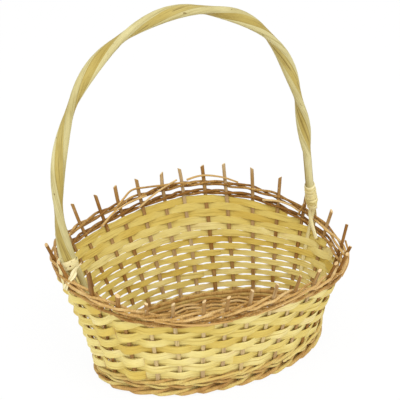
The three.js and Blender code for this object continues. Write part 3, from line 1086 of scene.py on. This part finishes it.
class Hoop:
    """The handle's centre line with lengths, directions and the turn of its two rods."""

    def __init__(self):
        self.path = hoop_path()
        self.lengths = [0.0]
        for a, b in zip(self.path, self.path[1:]):
            self.lengths.append(self.lengths[-1] + (b - a).length)
        self.rim_left = self.reach(lambda p: p.z >= rim_height(FOOT_LEFT), 0)
        self.rim_right = self.reach(lambda p: p.z >= rim_height(FOOT_RIGHT), -1)
        left, right = foot_point(FOOT_LEFT, 0).x, foot_point(FOOT_RIGHT, 0).x
        across = [left + (right - left) * share for share in WAISTS_ACROSS]
        waists = [self.reach(lambda p: p.z >= height, 0) for height in WAISTS_UP]
        waists += [self.reach(lambda p: p.x >= x, 0) for x in across]
        waists += [self.reach(lambda p: p.z >= height, -1) for height in WAISTS_DOWN]
        self.knots = [self.rim_left + 20] + waists
        self.turns = [0.0] + [0.5 + k for k in range(len(waists))]

    def reach(self, test, which):
        """Length of the hoop at a point that passes a test: 0 is the first, -1 the last."""
        return [length for p, length in zip(self.path, self.lengths) if test(p)][which]

    def at(self, length):
        """Centre and direction at a length."""
        k = min(max(bisect_right(self.lengths, length) - 1, 0), len(self.path) - 2)
        part = (length - self.lengths[k]) / (self.lengths[k + 1] - self.lengths[k])
        ahead = self.path[min(k + 2, len(self.path) - 1)] - self.path[max(k - 1, 0)]
        return self.path[k].lerp(self.path[k + 1], part), ahead.normalized()

    def half_turns(self, length):
        """Half turns of the rods, from the left foot, where they lie side by side."""
        if length <= self.knots[0]:
            return 0.0
        if length >= self.knots[-1]:
            return self.turns[-1]
        k = bisect_right(self.knots, length) - 1
        part = (length - self.knots[k]) / (self.knots[k + 1] - self.knots[k])
        return self.turns[k] + (self.turns[k + 1] - self.turns[k]) * part

    def frame(self, length):
        """Centre, direction of the pair of rods, direction across the pair, and ahead."""
        centre, ahead = self.at(length)
        facing = (TWIST_VIEW - ahead * ahead.dot(TWIST_VIEW)).normalized()
        side = facing.cross(ahead)
        turn = -math.pi * self.half_turns(length)
        pair = side * math.cos(turn) + facing * math.sin(turn)
        return centre, pair, ahead.cross(pair), ahead


# The right foot's legs, as position, distance out and rise above the rim: one goes down
# in the weave beside a stake, the other ends as a tail inside the wall
RIGHT_LEGS = {
    "a": (
        (-0.5, -9, 19), (-0.45, -6.5, 5), (-0.42, -4.8, -4), (-0.39, -2.2, -14),
        (-0.36, -0.6, -28), (-0.36, -0.6, -50), (-0.36, -0.6, -74),
    ),
    "b": (
        (-0.44, -9, 19), (-0.38, -7.6, 8), (-0.36, -6.4, 0), (-0.54, -5.6, -9.8),
        (-0.7, -5.3, -15), (-0.84, -5, -19),
    ),
}
LEG_WIDTH = 5.4
LEG_THICKNESS = 2.2


def flat_leg(places):
    """A flattened rod along the wall through spots beside it."""
    rings = []
    for centre, ahead, position, share in walk(places, 8):
        angle = angle_at(position)
        side = ahead.cross(wall_axes(angle, rim_height(angle) - 30)[2]).normalized()
        half = LEG_WIDTH / 2 * (1 - 0.15 * share)
        rings.append(round_ring(centre, side, side.cross(ahead), half, LEG_THICKNESS / 2, 10))
    return rings


class BASKET_OT_handle(bpy.types.Operator):
    """Adds the hoop: two peeled rods twisted together, with flat splits in their grooves"""
    bl_idname = "basket.handle"
    bl_label = "Handle"

    def execute(self, context):
        hoop = Hoop()
        for n, (name, side) in enumerate((("a", 1), ("b", -1))):
            rod, split = self.twisted(hoop, context.scene.basket.handle, n, side)
            for kind, look, rings, tone, roll, nodes in (
                ("rod", "peeled", rod, 0.35 + 0.3 * n, n * 1.7, ["handle_rod_" + name]),
                ("leg", "wrap", flat_leg(RIGHT_LEGS[name]), 0.6 + 0.2 * n, n, ()),
                ("filler", "filler", split, 0.4 + 0.2 * n, n * 2.3, ()),
            ):
                strands = Strands()
                strands.add(rings, tone, roll=roll)
                add_piece(strands, "hoop_%s_%s" % (kind, name), look, "handle_peeled", nodes,
                          sharp=60)
        return {"FINISHED"}

    def twisted(self, hoop, settings, n, side):
        """Rings of one rod of the pair and of the split in the groove beside it."""
        radius = settings.radius * 1000
        last = hoop.rim_right - 16
        steps = 300
        rod, split = [], []
        for k in range(steps + 1):
            length = last * k / steps
            centre, pair, over, _ = hoop.frame(length)
            leg = min(length / hoop.rim_left, 1)
            fork = 0.22 * smooth((hoop.rim_left + 55 - length) / 45)
            thick = radius * (0.55 + 0.45 * leg)
            thick *= 1 + 0.04 * noise.noise(centre * 0.03 + Vector((n * 9, 0, 0)))
            beside = centre + pair * side * thick * (1.06 + fork)
            rod.append(round_ring(beside, pair, over, thick, thick * 1.04, 14))
            if length > hoop.rim_left + 4:
                groove = centre + over * side * radius * 0.72
                wide = settings.filler * 1000
                split.append(round_ring(groove, pair, over, wide / 2, radius * 0.5, 12))
        return rod, split


# Bindings

WRAP_THICKNESS = 0.9

# The wad at the right foot: for each narrow coil its start and end along the hoop, measured
# from the rim, its turns, which are negative the other way round, and its slack
WAD = (
    (-44, -13, 8.3, 0.4), (-42, -14, -6.2, 0.9), (-35, -18, 4.4, 1.5), (-31, -40, -2.6, 1.3),
    (-20, -27, 2.3, 1.7),
)
WAD_WIDTH = 2.5

# The strip over the border at the right foot, as position, distance out and rise above the
# rim, and its width as a share of the others'
RIGHT_ARM = (
    (-0.5, -9, 14), (-0.46, -5.5, 7), (-0.4, 1, 2.5), (-0.38, 5.5, -2), (-0.4, 6, -10),
    (-0.42, 4.6, -17),
)
RIGHT_SHARE = 0.8

# The two arms of the V at the left foot, in the same way
LEFT_ARMS = (
    ((15, -13, 17), (14.88, -7, 10.5), (14.88, 0, 6.5), (14.78, 4.5, 1.5), (14.69, 7, -5),
     (14.5, 7.4, -13.5), (14.42, 5, -19)),
    ((14.1, -6, 10), (14.12, -1.5, 7), (14.3, 0.5, 5.5), (14.48, 4.5, 1), (14.54, 7, -6),
     (14.5, 7.4, -13), (14.47, 5, -18)),
)
LEFT_SHARES = (1.4, 0.8)


def coil(hoop, radius, start, end, turns, wide, seed, slack):
    """A strip wound round both rods between two lengths of the hoop."""
    rng = random.Random(seed)
    rings = []
    steps = int(abs(turns) * 26)
    for k in range(steps + 1):
        turn = TURN * turns * k / steps
        centre, pair, over, ahead = hoop.frame(start + (end - start) * k / steps)
        swell = 0.3 + (slack - 0.3) * math.sin(math.pi * (0.1 + 0.8 * k / steps))
        half_pair = radius * 2.1 + WRAP_THICKNESS / 2 + swell
        half_over = radius + 0.8 + WRAP_THICKNESS / 2 + swell
        point = centre + pair * half_pair * math.cos(turn) + over * half_over * math.sin(turn)
        normal = pair * math.cos(turn) / half_pair + over * math.sin(turn) / half_over
        normal.normalize()
        point = point + normal * 0.35 * noise.noise(Vector((k * 0.11, seed, 0)))
        lean = 0.5 * noise.noise(Vector((k * 0.07, seed * 2.1, 3)))
        own = wide * rng.uniform(0.99, 1.01)
        rings.append(strip_ring(point, ahead, normal, own, WRAP_THICKNESS, lean))
    return rings


def over_border(places, wide):
    """A strip that lies over the border through spots beside the wall."""
    rings = []
    for centre, ahead, position, share in walk(places, 6):
        away = (centre - spot(position, -2, -9)).normalized()
        side = ahead.cross(away).normalized()
        own = wide * (1 - 0.4 * share)
        rings.append(strip_ring(centre, side, side.cross(ahead), own, WRAP_THICKNESS, 0.1))
    return rings


class BASKET_OT_bindings(bpy.types.Operator):
    """Adds the strips that bind the handle's feet to the border"""
    bl_idname = "basket.bindings"
    bl_label = "Bindings"

    def execute(self, context):
        handle = context.scene.basket.handle
        hoop = Hoop()
        self.right(hoop, handle.radius * 1000, handle.wrap * 1000)
        self.left(hoop, handle.radius * 1000, handle.wrap * 1000)
        return {"FINISHED"}

    def right(self, hoop, radius, wide):
        """A tight wad of narrow turns both ways round the rods, and one over the border."""
        strands = Strands()
        foot = hoop.rim_right
        for n, (start, end, turns, slack) in enumerate(WAD):
            rings = coil(hoop, radius, foot + start, foot + end, turns, WAD_WIDTH, n + 5, slack)
            strands.add(rings, 0.9 - 0.22 * n, roll=n)
        strands.add(over_border(RIGHT_ARM, wide * RIGHT_SHARE), 0.5, roll=2.6)
        add_piece(strands, "wrap_right", "wrap", "handle_peeled", ["binding_right"])

    def left(self, hoop, radius, wide):
        """A broad turn round both rods, two arms that cross the border as a V, and a nail."""
        strands = Strands()
        foot = hoop.rim_left
        turn = coil(hoop, radius, foot + 10, foot + 15, turns=1.4, wide=wide * 1.1, seed=15,
                    slack=0.6)
        strands.add(turn, 0.7, roll=0.4)
        for n, (arm, share) in enumerate(zip(LEFT_ARMS, LEFT_SHARES)):
            strands.add(over_border(arm, wide * share), 0.9 - 0.3 * n, roll=2 + n)
        add_piece(strands, "wrap_left", "wrap", "handle_peeled", ["binding_left"])
        centre, _, over, _ = hoop.frame(foot + 12)
        strands = Strands()
        strands.add(rod_along([centre + over * (4.4 + 0.6 * k) for k in range(4)], 0.9), 0.0)
        add_piece(strands, "wrap_nail", "bark", "stake_brown", cut="bark")


# Rod ends that stick out of the border: position, distance out and rise above the rim
LOOSE_BORDER = (
    ((4.75, -4.5, 2), (4.3, -4.4, 4.6), (3.9, -4.2, 5.4), (3.2, -4.2, 3.8), (2.6, -4, 0.5)),
    ((8.4, -4.5, -6), (7.8, -4.8, 1), (7.3, -4.9, 6.3), (6.6, -4.9, 4), (5.9, -4.9, 1.2),
     (5.2, -4.9, 0), (4.6, -4.6, -3)),
    ((7.2, -4.6, -14), (6.4, -5.2, -6.4), (5.8, -5.3, -1.2), (5.2, -5.2, 3.6)),
    ((0.12, -5.4, -10), (0.02, -5.4, 0), (-0.03, -5.2, 5)),
    ((9.3, -4.6, -15), (8.5, -5.2, -8), (7.7, -5.3, -5), (6.7, -5.2, -4.5)),
    ((1.6, -4.8, -12), (1.0, -5.2, -7), (0.5, -5.2, -5), (0.1, -5, -6)),
    ((17.6, 5, -3), (18.4, 5.4, -8), (19.4, 5.4, -12), (20.3, 5, -14)),
    ((21.2, 5, -14), (22.2, 5.4, -9), (23.2, 5.4, -3), (23.8, 5, 0)),
    ((26.2, 5, -10), (27, 5.4, -4), (27.6, 5.4, 0), (28.1, 5, 3)),
)

# Those of the foot, with heights above the ground in place of rises
LOOSE_FOOT = (
    ((14.9, 3.6, 6), (14.5, 4.6, 7.6), (14.1, 6.2, 8.6)),
    ((18.2, 3.8, 16), (19.6, 4.2, 20), (20.8, 4, 22)),
    ((23.5, 3.8, 13), (24.8, 4.3, 18), (26, 4, 22)),
)

# Thickness of these ends, as a share of the rods'
END_SHARE = 0.86


class BASKET_OT_ends(bpy.types.Operator):
    """Adds the loose ends of rods at the border and the foot"""
    bl_idname = "basket.ends"
    bl_label = "Loose ends"

    def execute(self, context):
        rods = context.scene.basket.rods
        rng = random.Random(33)
        foot = [[(p, out, z - rim_at(p)) for p, out, z in places] for places in LOOSE_FOOT]
        for name, slot, ends, radius, taper in (
            ("border", "border_brown", LOOSE_BORDER, rods.border, 0.15),
            ("foot", "foot_rods", foot, rods.foot, 0.2),
        ):
            strands = Strands()
            thick = radius * 1000 * END_SHARE
            for places in ends:
                path = path_of(places, 6)
                rings = rod_along(path, thick, sides=7, taper=taper, seed=rng.random() * 9)
                strands.add(rings, rng.random())
            add_piece(strands, name + "_ends", name, slot)
        return {"FINISHED"}


# Stage

# The lamps in metres, the side one's power as a share of the key's, and what they aim at
KEY_SPOT = (0.2, -1.6, 2.0)
SIDE_SPOT = (-1.7, -0.6, 1.6)
LAMP_SIZE = 1.6
SIDE_SHARE = 0.42
LAMP_AIM = Vector((0, 0, 0.1))

# How far the floor turns plain white where the camera sees it
FLOOR_WHITE = 0.93

# The camera as fitted to the photograph: angles in degrees, focal length and width of the
# picture in pixels, shifts as shares of that width, distance and height of its aim in
# millimetres of the source
CAMERA_SIDE = math.radians(-23.7602)
CAMERA_LIFT = math.radians(25)
CAMERA_ROLL = math.radians(-2.1335)
FOCAL_LENGTH = 1319.05
PICTURE_WIDTH = 400
SENSOR_WIDTH = 36
CAMERA_SHIFT = (0.00503, -0.03712)
CAMERA_DISTANCE = 1392.19
CAMERA_AIM = Vector((0, 0, 200))


class BASKET_OT_stage(bpy.types.Operator):
    """Adds the floor, the lamps, the sky and the camera"""
    bl_idname = "basket.stage"
    bl_label = "Stage"

    def execute(self, context):
        stage = context.scene.basket.stage
        bpy.ops.object.select_all(action="DESELECT")
        bpy.ops.mesh.primitive_plane_add(size=30, location=(0, 0, -0.0004))
        floor = context.active_object
        floor.name = "floor"
        floor.data.materials.append(self.floor_finish())
        self.lamp("key", KEY_SPOT, stage.key)
        self.lamp("side", SIDE_SPOT, stage.key * SIDE_SHARE)
        self.sky(stage.sky)
        self.camera()
        context.scene.view_settings.view_transform = "Standard"
        return {"FINISHED"}

    def floor_finish(self):
        """White where the camera sees it directly, but for a trace of the object's shadow."""
        f = Finish("floor_white")
        f.shader.inputs["Base Color"].default_value = (0.95, 0.95, 0.95, 1)
        f.shader.inputs["Roughness"].default_value = 1.0
        glow = f.node("ShaderNodeEmission", {"Strength": 1.0})
        both = f.node("ShaderNodeMixShader", {
            0: f.times(f.seen(), FLOOR_WHITE), 1: f.shader.outputs[0], 2: glow})
        f.tree.links.new(both, f.tree.nodes["Material Output"].inputs["Surface"])
        return f.material

    def lamp(self, name, where, power):
        """A square lamp that shines at the basket."""
        data = bpy.data.lights.new(name, "AREA")
        data.energy, data.size = power, LAMP_SIZE
        lamp = bpy.data.objects.new(name, data)
        lamp.location = where
        lamp.rotation_euler = (LAMP_AIM - Vector(where)).to_track_quat("-Z", "Y").to_euler()
        bpy.context.collection.objects.link(lamp)

    def sky(self, strength):
        """Plain light from all round, and white where the camera sees it."""
        world = bpy.data.worlds.new("sky")
        bpy.context.scene.world = world
        world.use_nodes = True
        sky = Tree(world.node_tree)
        back = sky.tree.nodes["Background"]
        back.inputs["Color"].default_value = (1, 1, 1, 1)
        level = sky.node("ShaderNodeMapRange", {0: sky.seen(), 3: strength, 4: 1.0})
        sky.tree.links.new(level, back.inputs["Strength"])

    def camera(self):
        """Looks down at the basket from a little to the left of its front."""
        flat = Vector((math.cos(CAMERA_SIDE), math.sin(CAMERA_SIDE), 0))
        away = Vector((flat.y, -flat.x, 0)) * math.cos(CAMERA_LIFT) + UP * math.sin(CAMERA_LIFT)
        right = flat * math.cos(CAMERA_ROLL) + away.cross(flat) * math.sin(CAMERA_ROLL)
        data = bpy.data.cameras.new("camera")
        data.sensor_width = SENSOR_WIDTH
        data.lens = FOCAL_LENGTH * SENSOR_WIDTH / PICTURE_WIDTH
        data.shift_x, data.shift_y = CAMERA_SHIFT
        data.clip_end = 60
        camera = bpy.data.objects.new("camera", data)
        camera.location = (CAMERA_AIM + away * CAMERA_DISTANCE + ORIGIN) / 1000
        camera.rotation_mode = "QUATERNION"
        turned = Matrix((right, away.cross(right), away)).transposed()
        camera.rotation_quaternion = turned.to_quaternion()
        bpy.context.collection.objects.link(camera)
        bpy.context.scene.camera = camera


PIECES = (
    BASKET_OT_stakes, BASKET_OT_bands, BASKET_OT_border, BASKET_OT_foot, BASKET_OT_base,
    BASKET_OT_handle, BASKET_OT_bindings, BASKET_OT_ends, BASKET_OT_stage,
)


class BASKET_PT_panel(bpy.types.Panel):
    """Lists the pieces of the basket and their sizes"""
    bl_idname = "BASKET_PT_panel"
    bl_label = "Woven Gift Basket"
    bl_space_type = "VIEW_3D"
    bl_region_type = "UI"
    bl_category = "Basket"

    def draw(self, context):
        for piece in PIECES:
            self.layout.operator(piece.bl_idname)
        basket = context.scene.basket
        for group in (basket.stakes, basket.bands, basket.rods, basket.handle, basket.colours,
                      basket.stage):
            box = self.layout.box()
            for name in group.__annotations__:
                box.prop(group, name)


SETTINGS = (
    StakeSettings, BandSettings, RodSettings, HandleSettings, ColourSettings, StageSettings,
    BasketSettings,
)


def register():
    for cls in SETTINGS + PIECES + (BASKET_PT_panel,):
        bpy.utils.register_class(cls)
    bpy.types.Scene.basket = PointerProperty(type=BasketSettings)


def unregister():
    del bpy.types.Scene.basket
    for cls in reversed(SETTINGS + PIECES + (BASKET_PT_panel,)):
        bpy.utils.unregister_class(cls)


def main():
    register()
    for piece in PIECES:
        group, name = piece.bl_idname.split(".")
        getattr(getattr(bpy.ops, group), name)()


if __name__ == "__main__":
    main()
